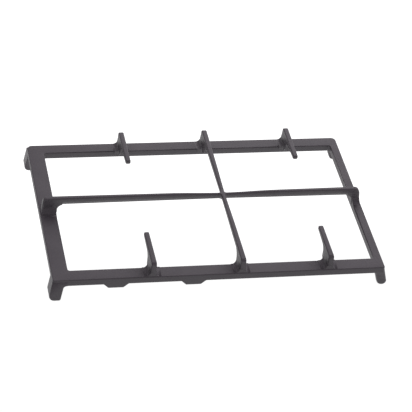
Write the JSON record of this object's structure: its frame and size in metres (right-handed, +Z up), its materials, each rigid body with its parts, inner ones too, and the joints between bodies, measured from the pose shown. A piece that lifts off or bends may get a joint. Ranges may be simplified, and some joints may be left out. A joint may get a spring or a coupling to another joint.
{
  "type": "hob pan support",
  "caption": "Cast-iron pan support for a gas hob: flat rectangular frame on splayed legs, with a raised cross of bars and short fingers that hold pans over the burners.",
  "frame": {"origin": "middle of the frame in plan, in the plane that the feet stand on", "axes": "+X along the long side from the wide end rail to the narrow one, +Y from the near long rail with the tabs to the far one, +Z up"},
  "size_m": [0.4089, 0.2581, 0.0489],
  "materials": {
    "enamelled_iron": "semi-matt dark grey vitreous enamel over cast iron"
  },
  "bodies": {
    "root": {"pan_support": "enamelled_iron"}
  },
  "joints": []
}
